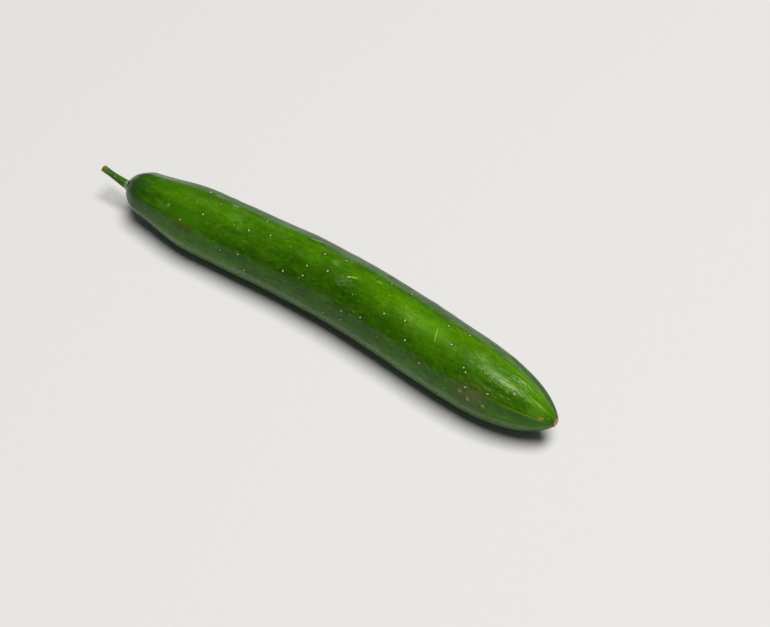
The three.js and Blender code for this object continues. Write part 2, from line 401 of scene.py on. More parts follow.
def close_tree(tree, geometry, size):
    """Ends a tree in real geometry with its material."""
    real = add(tree, "GeometryNodeRealizeInstances", {"Geometry": geometry})
    dressed = add(tree, "GeometryNodeSetMaterial", {"Geometry": real, "Material": size["Material"]})
    add(tree, "NodeGroupOutput", {"Geometry": dressed})


def bake(tree, name, sizes, material):
    """The plain mesh that a tree makes with these sizes, as an object at the origin."""
    piece = bpy.data.objects.new(name, bpy.data.meshes.new(name))
    bpy.context.scene.collection.objects.link(piece)
    modifier = piece.modifiers.new("rule", "NODES")
    modifier.node_group = tree
    values = {**sizes, "Material": material}
    for socket in tree.interface.items_tree:
        if socket.in_out == "INPUT":
            value = values[socket.name]
            modifier[socket.identifier] = value[:] if isinstance(value, Vector) else value
    graph = bpy.context.evaluated_depsgraph_get()
    mesh = bpy.data.meshes.new_from_object(
        piece.evaluated_get(graph), preserve_all_data_layers=True, depsgraph=graph
    )
    piece.modifiers.clear()
    piece.data = mesh
    mesh.name = name
    return piece


# Skin
def mean_radius(tree, size, place):
    """Radius of the fruit without its ribs."""
    from_tip = add(tree, MATH, (size["Length"], place), "SUBTRACT")
    ends = []
    for reach, length, softness, bluntness in (
        (place, "Shoulder length", "Shoulder roundness", "Shoulder roundness"),
        (from_tip, "Taper length", "Taper softness", "Taper bluntness"),
    ):
        end = add(tree, MATH, (reach, size[length]), "DIVIDE")
        end = add(tree, MATH, (1.0, end), "SUBTRACT", use_clamp=True)
        end = add(tree, MATH, (end, size[softness]), "POWER")
        end = add(tree, MATH, (1.0, end), "SUBTRACT")
        power = add(tree, MATH, (1.0, size[bluntness]), "DIVIDE")
        ends.append(add(tree, MATH, (end, power), "POWER"))
    dome, taper = ends
    neck = add(tree, RANGE, (place, 0.0, size["Neck length"], size["Neck share"], 1.0), **SMOOTH)
    belly = add(tree, MATH, (place, size["Length"]), "DIVIDE")
    belly = add(tree, MATH, (belly, size["Belly place"]), "SUBTRACT")
    belly = add(tree, MATH, (belly, FULL_TURN), "MULTIPLY")
    belly = add(tree, MATH, (belly,), "COSINE")
    belly = add(tree, MATH, (belly, size["Belly share"], 1.0), "MULTIPLY_ADD")
    radius = size["Girth radius"]
    for factor in (dome, neck, taper, belly):
        radius = add(tree, MATH, (radius, factor), "MULTIPLY")
    return radius


def around_axis(tree, radius, angle):
    """How far across and how far up a point lies, from its radius and angle."""
    cosine = add(tree, MATH, (angle,), "COSINE")
    sine = add(tree, MATH, (angle,), "SINE")
    across = add(tree, MATH, (radius, cosine), "MULTIPLY")
    upward = add(tree, MATH, (radius, sine), "MULTIPLY")
    return across, upward


def bow_offset(tree, size, place):
    """Sideways offset of the axis."""
    share = add(tree, MATH, (place, size["Length"]), "DIVIDE")
    offset = add(tree, RANGE, (share, 0.0, 1.0, size["Bow at stem"], size["Bow at tip"]))
    for waves, label in enumerate(("Bow one wave", "Bow two waves", "Bow three waves"), start=1):
        wave = add(tree, MATH, (share, waves * math.pi), "MULTIPLY")
        wave = add(tree, MATH, (wave,), "SINE")
        offset = add(tree, MATH, (wave, size[label], offset), "MULTIPLY_ADD")
    return offset


def rib_wave(tree, size, angle, count):
    """Cosine that peaks on each rib or chamber."""
    wave = add(tree, MATH, (angle, size["Rib angle"]), "SUBTRACT")
    wave = add(tree, MATH, (wave, size[count]), "MULTIPLY")
    return add(tree, MATH, (wave,), "COSINE")


def section_factor(tree, size, place, angle):
    """Ribs, chambers and slow unevenness, as a factor on the radius."""
    fade_start = add(tree, MATH, (size["Length"], size["Rib fade length"]), "SUBTRACT")
    at_tip = add(tree, MATH, (size["Rib share at tip"], size["Rib share"]), "SUBTRACT")
    at_tip = add(tree, RANGE, (place, fade_start, size["Length"], 0.0, at_tip), **SMOOTH)
    at_stem = add(tree, MATH, (size["Rib share at stem"], size["Rib share"]), "SUBTRACT")
    at_stem = add(tree, RANGE, (place, 0.0, size["Rib fade length"], at_stem, 0.0), **SMOOTH)
    share = add(tree, MATH, (at_tip, at_stem), "ADD")
    share = add(tree, MATH, (share, size["Rib share"]), "ADD")
    ribs = rib_wave(tree, size, angle, "Rib count")
    factor = add(tree, MATH, (ribs, share, 1.0), "MULTIPLY_ADD")
    chambers = rib_wave(tree, size, angle, "Chamber count")
    factor = add(tree, MATH, (chambers, size["Chamber share"], factor), "MULTIPLY_ADD")
    wave = add(tree, MATH, (place, size["Uneven wave"]), "DIVIDE")
    wave = add(tree, MATH, (wave, FULL_TURN), "MULTIPLY")
    along = add(tree, MATH, (wave,), "SINE")
    around = add(tree, MATH, (wave, UNEVEN_WAVES_PER_TURN), "DIVIDE")
    around = add(tree, MATH, (angle, size["Uneven twist"], around), "MULTIPLY_ADD")
    around = add(tree, MATH, (around,), "COSINE")
    uneven = add(tree, MATH, (along, around), "MULTIPLY")
    return add(tree, MATH, (uneven, size["Uneven share"], factor), "MULTIPLY_ADD")


def skin_position(tree, size):
    """A point of the skin, from the named attributes place, angle and girth_share."""
    names = ("place", "angle", "girth_share")
    place, angle, girth = [add(tree, NAMED, {"Name": name}) for name in names]
    radius = mean_radius(tree, size, place)
    for factor in (section_factor(tree, size, place, angle), girth):
        radius = add(tree, MATH, (radius, factor), "MULTIPLY")
    cosine = add(tree, MATH, (angle,), "COSINE")
    sine = add(tree, MATH, (angle,), "SINE")
    bow = bow_offset(tree, size, place)
    across = add(tree, MATH, (radius, cosine, bow), "MULTIPLY_ADD")
    height = add(tree, MATH, (radius, sine, size["Axis height"]), "MULTIPLY_ADD")
    height = add(tree, MATH, (height, 0.0), "MAXIMUM")
    point = add(tree, COMBINE, (place, across, height))
    point = add(tree, VECTOR_MATH, (point, AXIS_START), "ADD")
    straight = add(tree, COMBINE, (place, *around_axis(tree, size["Girth radius"], angle)))
    ribs = rib_wave(tree, size, angle, "Rib count")
    return point, straight, ribs


def store(tree, geometry, name, value, kind="FLOAT"):
    """Keeps a value on every point under a name."""
    wires = {"Geometry": geometry, "Name": name, "Value": value}
    return add(tree, "GeometryNodeStoreNamedAttribute", wires, data_type=kind, domain="POINT")


def wart_points(tree, size):
    """Points in staggered rows along the ribs; the side that the fruit lies on has none."""
    count = add(tree, MATH, (size["Rib count"], size["Warts per rib"]), "MULTIPLY")
    points = add(tree, "GeometryNodePoints", {"Count": count})
    index = add(tree, "GeometryNodeInputIndex")
    rib = add(tree, MATH, (index, size["Rib count"]), "MODULO")
    row = add(tree, MATH, (index, size["Rib count"]), "DIVIDE")
    row = add(tree, MATH, (row,), "FLOOR")
    swings = []
    for label in ("Wart drift step", "Wart turn step"):
        swing = add(tree, MATH, (index, size[label]), "MULTIPLY")
        swing = add(tree, MATH, (swing,), "FRACT")
        swings.append(add(tree, MATH, (swing, 0.5), "SUBTRACT"))
    drift, turn = swings
    stagger = add(tree, MATH, (rib, size["Wart stagger"]), "MULTIPLY")
    stagger = add(tree, MATH, (stagger,), "FRACT")
    steps = add(tree, MATH, (row, stagger), "ADD")
    steps = add(tree, MATH, (drift, size["Wart pitch drift"], steps), "MULTIPLY_ADD")
    place = add(tree, MATH, (steps, size["Wart pitch"], size["Wart first"]), "MULTIPLY_ADD")
    angle = add(tree, MATH, (rib, size["Rib count"]), "DIVIDE")
    angle = add(tree, MATH, (angle, FULL_TURN, size["Rib angle"]), "MULTIPLY_ADD")
    angle = add(tree, MATH, (turn, size["Wart angle drift"], angle), "MULTIPLY_ADD")
    for name, value in (("place", place), ("angle", angle), ("girth_share", 1.0)):
        points = store(tree, points, name, value)
    lowest = add(tree, MATH, (size["Wart free underside"],), "COSINE")
    downward = add(tree, MATH, (angle,), "SINE")
    downward = add(tree, MATH, (downward, -1.0), "MULTIPLY")
    under = add(tree, MATH, (downward, lowest), "GREATER_THAN")
    wires = {"Geometry": points, "Selection": under}
    return add(tree, "GeometryNodeDeleteGeometry", wires, domain="POINT")


def shaped(tree, grid, point):
    """A grid with its points moved into place and merged where they meet."""
    grid = add(tree, SET_POSITION, {"Geometry": grid, "Position": point})
    return add(tree, MERGE, {"Geometry": grid, "Distance": MERGE_DISTANCE})


def raised(tree, surface, height):
    """A surface with its points moved along their normals."""
    offset = add(tree, VECTOR_MATH, {"Vector": add(tree, NORMAL), "Scale": height}, "SCALE")
    return add(tree, SET_POSITION, {"Geometry": surface, "Offset": offset})


def unit_grid(tree, size):
    """A flat grid from -0.5 to 0.5 in x and y, and the coordinates of its points."""
    columns = add(tree, MATH, (size["Sides"], 1.0), "ADD")
    wires = {"Size X": 1.0, "Size Y": 1.0, "Vertices X": size["Rings"], "Vertices Y": columns}
    grid = add(tree, "GeometryNodeMeshGrid", wires)
    return grid, add(tree, SEPARATE, (add(tree, POSITION),))


def skin_grid(tree, size):
    """A flat grid whose points know their place along the fruit and their angle round it."""
    grid, parts = unit_grid(tree, size)
    along = add(tree, MATH, (parts.outputs[0], 0.5), "ADD")
    around = add(tree, MATH, (parts.outputs[1], 0.5), "ADD")
    crowd = add(tree, MATH, (along, FULL_TURN), "MULTIPLY")
    crowd = add(tree, MATH, (crowd,), "SINE")
    amount = add(tree, MATH, (size["Ring crowding"], -FULL_TURN), "DIVIDE")
    eased = add(tree, MATH, (crowd, amount, along), "MULTIPLY_ADD")
    place = add(tree, RANGE, (eased, 0.0, 1.0, size["Seat place"], size["Scar place"]))
    angle = add(tree, MATH, (around, FULL_TURN, size["Rib angle"]), "MULTIPLY_ADD")
    from_middle = add(tree, MATH, (parts.outputs[0],), "ABSOLUTE")
    inside = add(tree, MATH, (from_middle, INNER_HALF), "LESS_THAN")
    for name, value in (("place", place), ("angle", angle), ("girth_share", inside)):
        grid = store(tree, grid, name, value)
    return grid


def relief_height(tree, size, straight, distance):
    """Height of slow dents, puckers, and a wart in a shallow hollow at each spine."""
    height = 0.0
    for label, detail in (("Dent", 1.0), ("Pucker", 3.0)):
        scale = add(tree, MATH, (1.0, size[f"{label} width"]), "DIVIDE")
        pattern = add(tree, NOISE, {"Vector": straight, "Scale": scale, "Detail": detail})
        swing = add(tree, MATH, (pattern, 0.5), "SUBTRACT")
        swing = add(tree, MATH, (swing, 2.0), "MULTIPLY")
        height = add(tree, MATH, (swing, size[f"{label} height"], height), "MULTIPLY_ADD")
    forms = (("Wart radius", "Wart height", "ADD"), ("Hollow radius", "Hollow depth", "SUBTRACT"))
    for radius, middle, way in forms:
        form = add(tree, RANGE, (distance, 0.0, size[radius], size[middle], 0.0), **SMOOTH)
        height = add(tree, MATH, (height, form), way)
    return height


def spine_stubs(tree, size, points, skin):
    """A broken spine on every wart: a short stub, leaning a little, of its own size."""
    wires = {
        "Vertices": SPINE_SIDES, "Side Segments": SPINE_STEPS, "Fill Segments": 1,
        "Radius Top": size["Spine tip radius"], "Radius Bottom": size["Spine radius"],
        "Depth": size["Spine height"],
    }
    stub = add(tree, "GeometryNodeMeshCone", wires, fill_type="TRIANGLE_FAN")
    position = add(tree, POSITION)
    parts = add(tree, SEPARATE, (position,))
    rise = add(tree, MATH, (parts.outputs[2], size["Spine height"]), "DIVIDE")
    stub = store(tree, stub, "spine_rise", rise)
    nearest = []
    for value in (add(tree, NORMAL), position):
        nearest.append(add(tree, NEAREST, {"Mesh": skin, "Value": value}, **VECTORS))
    facing, landing = nearest
    sunk = add(tree, MATH, (size["Spine height"], -SPINE_SUNK_SHARE), "MULTIPLY")
    sunk = add(tree, VECTOR_MATH, {"Vector": facing, "Scale": sunk}, "SCALE")
    root = add(tree, VECTOR_MATH, (landing, sunk), "ADD")
    points = store(tree, points, "facing", facing, "FLOAT_VECTOR")
    points = add(tree, SET_POSITION, {"Geometry": points, "Position": root})
    kept_facing = add(tree, NAMED, {"Name": "facing"}, **VECTORS)
    upright = add(tree, "FunctionNodeAlignRotationToVector", {"Vector": kept_facing}, axis="Z")
    lean = add(tree, VECTOR_MATH, {"Vector": (1.0, 1.0, 0.0), "Scale": size["Spine lean"]}, "SCALE")
    lean_back = add(tree, VECTOR_MATH, {"Vector": lean, "Scale": -1.0}, "SCALE")
    wires = {"Min": lean_back, "Max": lean, "Seed": size["Seed"]}
    tilt = add(tree, "FunctionNodeRandomValue", wires, **VECTORS)
    tilt = add(tree, "FunctionNodeEulerToRotation", {"Euler": tilt})
    wires = {"Rotation": upright, "Rotate By": tilt}
    rotation = add(tree, "FunctionNodeRotateRotation", wires, rotation_space="LOCAL")
    wires = {"Min": SPINE_LEAST, "Max": SPINE_MOST, "Seed": size["Seed"]}
    scale = add(tree, "FunctionNodeRandomValue", wires, **VECTORS)
    wires = {"Points": points, "Instance": stub, "Rotation": rotation, "Scale": scale}
    return add(tree, "GeometryNodeInstanceOnPoints", wires)


def fruit_tree():
    """The tree of the skin and of the spines on it."""
    tree, size = new_tree("cucumber_rule", SKIN_SIZES)
    point, straight, ribs = skin_position(tree, size)
    warts = wart_points(tree, size)
    warts = add(tree, SET_POSITION, {"Geometry": warts, "Position": point})
    skin = skin_grid(tree, size)
    skin = store(tree, skin, "straight", straight, "FLOAT_VECTOR")
    skin = store(tree, skin, "rib_wave", ribs)
    skin = shaped(tree, skin, point)
    near = add(tree, "GeometryNodeProximity", {"Geometry": warts}, target_element="POINTS")
    skin = store(tree, skin, "spine_distance", near.outputs["Distance"])
    distance = add(tree, NAMED, {"Name": "spine_distance"})
    flat = add(tree, NAMED, {"Name": "straight"}, **VECTORS)
    skin = raised(tree, skin, relief_height(tree, size, flat, distance))
    above_floor = add(tree, VECTOR_MATH, (add(tree, POSITION), LOWEST_POINT), "MAXIMUM")
    skin = add(tree, SET_POSITION, {"Geometry": skin, "Position": above_floor})
    skin = add(tree, SHADE_SMOOTH, {"Geometry": skin})
    spines = spine_stubs(tree, size, warts, skin)
    wires = {"Switch": size["Make spines"], "False": skin, "True": spines}
    chosen = add(tree, "GeometryNodeSwitch", wires, input_type="GEOMETRY")
    close_tree(tree, chosen, size)
    return tree


# Materials
def new_material(name):
    """A material with its Principled shader."""
    material = bpy.data.materials.new(name)
    material.use_nodes = True
    tree = material.node_tree
    return material, tree, tree.nodes["Principled BSDF"]


def lengthwise_noise(tree, straight, length, width, **sizes):
    """Noise in streaks of this length and width, in millimetres, on the rolled-out skin."""
    length, width = length * MM, width * MM
    squeeze = (1 / length, 1 / width, 1 / width)
    stretched = add(tree, VECTOR_MATH, (straight, squeeze), "MULTIPLY")
    return add(tree, NOISE, {"Vector": stretched, "Scale": 1.0, "Detail": 2.0, **sizes})


def layered(tree, colour, layers):
    """A colour under layers, each of them a mask and the tint that it brings."""
    for mask, tint in layers:
        colour = add(tree, MIX, (mask, colour, linear(tint)), data_type="RGBA")
    return colour


def mark_mask(tree, straight, ragged, mark):
    """Where one mark lies: an oval on the skin, eaten at its edge by a ragged noise."""
    turn = math.radians(mark["turn"])
    angle = math.radians(mark["angle"])
    outward = Vector((0, math.cos(angle), math.sin(angle)))
    around = Vector((0, -math.sin(angle), math.cos(angle)))
    lengthwise = Vector((math.cos(turn), 0, 0)) + math.sin(turn) * around
    crosswise = outward.cross(lengthwise)
    axes = Matrix((lengthwise, crosswise, outward)).transposed()
    wires = {
        "Vector": straight,
        "Location": Vector((mark["place"] * MM, 0, 0)) + GIRTH_RADIUS * outward,
        "Rotation": axes.to_euler()[:],
        "Scale": (mark["long"] / 2 * MM, mark["wide"] / 2 * MM, MARK_DEPTH),
    }
    local = add(tree, "ShaderNodeMapping", wires, vector_type="TEXTURE")
    oval = add(tree, "ShaderNodeTexGradient", {"Vector": local}, gradient_type="SPHERICAL")
    inside = oval.outputs["Fac"]
    eaten = add(tree, MATH, (ragged, mark["ragged"], inside), "MULTIPLY_ADD")
    core = add(tree, RANGE, (eaten, MARK_EDGE, mark["soft"]), **SMOOTH)
    window = add(tree, RANGE, (inside, 0.0, MARK_WINDOW, 0.0, mark["strength"]), **SMOOTH)
    return add(tree, MATH, (core, window), "MULTIPLY")


def skin_tone(tree, straight, parts, angle):
    """How light the green is, from 0 to 1: pale chambers, long veins, clouds, mottling and painted
    shade.
    """
    warp = lengthwise_noise(tree, straight, 24, 9)
    angle = add(tree, MATH, (warp, CHAMBER_WANDER, angle), "MULTIPLY_ADD")
    chamber = add(tree, MATH, (angle, CHAMBER_ANGLE + CHAMBER_WANDER / 2), "SUBTRACT")
    chamber = add(tree, MATH, (chamber, CHAMBER_COUNT), "MULTIPLY")
    chamber = add(tree, MATH, (chamber,), "COSINE")
    tone = add(tree, MATH, (chamber, CHAMBER_TONE, MEAN_TONE), "MULTIPLY_ADD")
    # Slow changes along the fruit, then painted shade underneath and on the far side
    for axis, start, full, change in TONE_CHANGES:
        run = (parts.outputs[axis], start * MM, full * MM)
        lift = add(tree, RANGE, (*run, 0.0, change), **SMOOTH)
        tone = add(tree, MATH, (tone, lift), "ADD")
    for length, width, swing in TONE_NOISES:
        pattern = lengthwise_noise(tree, straight, length, width)
        tone = add(tree, MATH, (pattern, swing, tone), "MULTIPLY_ADD")
        tone = add(tree, MATH, (tone, swing / 2), "SUBTRACT")
    return tone


def rib_lines(tree, straight, place, angle, ribs):
    """Pale broken lines along the ribs where they run together at the blossom end."""
    line = add(tree, RANGE, (ribs, *LINE_CREST), **SMOOTH)
    every_other = add(tree, MATH, (angle, RIB_ANGLE), "SUBTRACT")
    every_other = add(tree, MATH, (every_other, RIB_COUNT / 2), "MULTIPLY")
    every_other = add(tree, MATH, (every_other,), "COSINE")
    every_other = add(tree, RANGE, (every_other, *LINE_EVERY_OTHER))
    line = add(tree, MATH, (line, every_other), "MULTIPLY")
    from_top = add(tree, MATH, (angle, LINE_ANGLE), "SUBTRACT")
    from_top = add(tree, MATH, (from_top,), "COSINE")
    later = add(tree, RANGE, (from_top, *LINE_DELAY))
    line_place = add(tree, MATH, (place, later), "ADD")
    for run, ends in ((line_place, LINE_START), (place, LINE_END)):
        reach = add(tree, RANGE, (run, *ends), **SMOOTH)
        line = add(tree, MATH, (line, reach), "MULTIPLY")
    gaps = lengthwise_noise(tree, straight, 13, 3)
    gaps = add(tree, RANGE, (gaps, *LINE_GAPS), **SMOOTH)
    return add(tree, MATH, (line, gaps), "MULTIPLY")


def skin_dots(tree, straight):
    """The small dots on the skin, each kind a mask and its colour."""
    layers = []
    for spacing, radius, absent, strength, tint in DOTS:
        cells = add(tree, "ShaderNodeTexVoronoi", {"Vector": straight, "Scale": 1 / spacing})
        edge = radius / spacing
        wires = (cells.outputs["Distance"], edge, DOT_CORE * edge, 0.0, strength)
        dot = add(tree, RANGE, wires, **SMOOTH)
        chance = add(tree, SEPARATE, (cells.outputs["Color"],)).outputs[0]
        chance = add(tree, MATH, (chance, absent), "GREATER_THAN")
        layers.append((add(tree, MATH, (dot, chance), "MULTIPLY"), tint))
    return layers


def waxy_cucumber_skin():
    """Fresh cucumber skin: a thin waxy cuticle over green flesh.

    It gives a deep clear green, pale over the chambers, with soft veins and a broad broken gleam.
    Painted shade darkens the underside, the far side and the spine feet; a painted highlight
    broadens the gleam.
    """
    material, tree, shader = new_material("waxy_cucumber_skin")
    straight = add(tree, READ, attribute_name="straight").outputs["Vector"]
    names = ("rib_wave", "spine_distance")
    ribs, spine = [add(tree, READ, attribute_name=name).outputs["Fac"] for name in names]
    parts = add(tree, SEPARATE, (straight,))
    place = parts.outputs[0]
    angle = add(tree, MATH, (parts.outputs[2], parts.outputs[1]), "ARCTAN2")

    # Greens from the dark ground to the yellow-green of the palest clouds
    tone = skin_tone(tree, straight, parts, angle)
    greens = add(tree, "ShaderNodeValToRGB", {"Fac": tone})
    stops = greens.color_ramp.elements
    while len(stops) < len(SKIN_GREENS):
        stops.new(0.5)
    for stop, (position, colour) in zip(stops, SKIN_GREENS):
        stop.position = position
        stop.color = linear(colour)

    # Over the green: the dark shoulder, and the grey bloom where it meets the stalk
    wander = lengthwise_noise(tree, straight, 9, 5)
    shoulder = add(tree, MATH, (wander, SHOULDER_WANDER, place), "MULTIPLY_ADD")
    layers = []
    for *run, tint in SHOULDER_LAYERS:
        layers.append((add(tree, RANGE, (shoulder, *run), **SMOOTH), tint))
    layers.append((rib_lines(tree, straight, place, angle, ribs), "#78aa22"))
    layers += skin_dots(tree, straight)

    # Dark ring round the foot of each spine: partly deeper green skin, partly painted shade of the
    # stub
    layers.append((add(tree, RANGE, (spine, *FOOT_RING), **SMOOTH), "#1e3c14"))

    # Wax bloom left in faint rubbed clouds, and short pale freckles in the green
    bloom = lengthwise_noise(tree, straight, 16, 5, Detail=5.0)
    bloom = add(tree, RANGE, (bloom, *BLOOM_CLOUDS), **SMOOTH)
    layers.append((bloom, "#76994e"))
    freckles = lengthwise_noise(tree, straight, 2.4, 1.0, Detail=4.0)
    layers.append((add(tree, RANGE, (freckles, *FRECKLES), **SMOOTH), "#6c9c24"))

    # Marks of growing and handling and one painted highlight, edges eaten away by one ragged noise
    ragged = lengthwise_noise(tree, straight, 1.6, 1.0, Detail=4.0)
    ragged = add(tree, MATH, (ragged, 0.5), "SUBTRACT")
    any_mark = 0.0
    for mark in MARKS:
        mask = mark_mask(tree, straight, ragged, mark)
        layers.append((mask, mark["colour"]))
        any_mark = add(tree, MATH, (mask, any_mark), "MAXIMUM")
    colour = layered(tree, greens.outputs["Color"], layers)

    # The gleam is duller on bloom, on marks and in patches, and underneath, where nothing
    # has rubbed the bloom off
    dull = add(tree, MATH, (bloom, BLOOM_ROUGHNESS, CLEAN_ROUGHNESS), "MULTIPLY_ADD")
    dull = add(tree, MATH, (any_mark, MARK_ROUGHNESS, dull), "MULTIPLY_ADD")
    patches = lengthwise_noise(tree, straight, 11, 6)
    dull = add(tree, MATH, (patches, PATCH_ROUGHNESS, dull), "MULTIPLY_ADD")
    unrubbed = add(tree, RANGE, (parts.outputs[2], *UNRUBBED), **SMOOTH)
    dull = add(tree, MATH, (dull, unrubbed), "ADD")

    # Short wrinkles that break the gleam, stronger towards the tip, where finer crinkles join them
    wrinkle = lengthwise_noise(tree, straight, 4.2, 1.7, Distortion=0.6)
    toward_tip = add(tree, RANGE, (place, *WRINKLE_RUN))
    wrinkle = add(tree, MATH, (wrinkle, toward_tip), "MULTIPLY")
    crinkle = lengthwise_noise(tree, straight, 1.5, 0.9, Distortion=0.4)
    at_tip = add(tree, RANGE, (place, *CRINKLE_RUN))
    relief = add(tree, MATH, (crinkle, at_tip, wrinkle), "MULTIPLY_ADD")
    bump = add(tree, BUMP, {"Height": relief, "Strength": 1.0, "Distance": WRINKLE_HEIGHT})
    wires = {"Base Color": colour, "Roughness": dull, "Normal": bump, "Specular IOR Level": 0.2}
    wire(tree, shader, wires)
    return material


def dry_spine():
    """A dried, broken spine: chalky cream at the tip, horny grey-green at its foot."""
    material, tree, shader = new_material("dry_spine")
    rise = add(tree, READ, attribute_name="spine_rise").outputs["Fac"]
    rise = add(tree, RANGE, (rise, *SPINE_CHALK), **SMOOTH)
    colour = layered(tree, linear("#a8ac84"), [(rise, "#fbfdea")])
    wire(tree, shader, {"Base Color": colour, "Roughness": 0.6, "Specular IOR Level": 0.3})
    return material


def fibrous_stalk():
    """A cut fruit stalk: green ribs of tough fibre with a satin look, dried brown at the cut."""
    material, tree, shader = new_material("fibrous_stalk")
    straight = add(tree, READ, attribute_name="straight").outputs["Vector"]
    names = ("share", "cap")
    share, cap = [add(tree, READ, attribute_name=name).outputs["Fac"] for name in names]
    fibres = lengthwise_noise(tree, straight, 6, 0.45, Detail=3.0)
    fibres = add(tree, RANGE, (fibres, *STALK_FIBRES), **SMOOTH)
    blotch = lengthwise_noise(tree, straight, 2.2, 1.1, Detail=4.0)
    ragged = add(tree, MATH, (blotch, STALK_RAGGED, share), "MULTIPLY_ADD")
    layers = [(fibres, "#467212")]
    for value, run, tint in (
        (blotch, STALK_PALE, "#7c9050"),
        (ragged, STALK_FOOT, "#8a9676"),
        (ragged, STALK_DRIED, "#665a18"),
        (cap, STALK_CUT, "#54491a"),
    ):
        layers.append((add(tree, RANGE, (value, *run), **SMOOTH), tint))
    colour = layered(tree, linear("#1f4008"), layers)
    bump = add(tree, BUMP, {"Height": fibres, "Strength": 0.7, "Distance": FIBRE_RELIEF})
    dull = add(tree, MATH, (blotch, *STALK_ROUGHNESS), "MULTIPLY_ADD")
    wires = {"Base Color": colour, "Roughness": dull, "Normal": bump, "Specular IOR Level": 0.3}
    wire(tree, shader, wires)
    return material


def corky_scar():
    """The healed blossom scar: dry tan cork, matt and grainy, with dark pits."""
    material, tree, shader = new_material("corky_scar")
    straight = add(tree, READ, attribute_name="straight").outputs["Vector"]
    names = ("pit", "rim")
    pit, rim = [add(tree, READ, attribute_name=name).outputs["Fac"] for name in names]
    grain = add(tree, NOISE, {"Vector": straight, "Scale": 1 / CORK_GRAIN, "Detail": 4.0})
    layers = [(grain, "#d8bf84"), (rim, "#5f5a22"), (pit, "#2c1e0a")]
    colour = layered(tree, linear("#8e6e34"), layers)
    bump = add(tree, BUMP, {"Height": grain, "Strength": 0.8, "Distance": CORK_RELIEF})
    wires = {"Base Color": colour, "Roughness": 0.8, "Normal": bump, "Specular IOR Level": 0.2}
    wire(tree, shader, wires)
    return material


def matt_white_paper():
    """Seamless background paper: pale and matt, with a barely visible tooth."""
    material, tree, shader = new_material("matt_white_paper")
    position = add(tree, "ShaderNodeTexCoord").outputs["Object"]
    tooth = add(tree, NOISE, {"Vector": position, "Scale": 1 / PAPER_TOOTH, "Detail": 2.0})
    colour = layered(tree, linear("#cbccd0"), [(tooth, "#cfd0d4")])
    wire(tree, shader, {"Base Color": colour, "Roughness": 0.95, "Specular IOR Level": 0.1})
    return material


def build_fruit():
    """The skin and the spines, from the same tree and sizes."""
    tree = fruit_tree()
    skin = bake(tree, "fruit_skin", SKIN_SIZES, waxy_cucumber_skin())
    spines = bake(tree, "spines", {**SKIN_SIZES, "Make spines": True}, dry_spine())
    return skin, spines


# Stalk and blossom scar
def tube_grid(tree, size):
    """A flat grid that knows its run from one end to the other and its angle, for a closed tube."""
    grid, parts = unit_grid(tree, size)
    run = add(tree, MATH, (parts.outputs[0], 0.5), "ADD")
    angle = add(tree, MATH, (parts.outputs[1], FULL_TURN), "MULTIPLY")
    grid = store(tree, grid, "run", run)
    grid = store(tree, grid, "angle", angle)
    run, angle = [add(tree, NAMED, {"Name": name}) for name in ("run", "angle")]
    return grid, run, angle


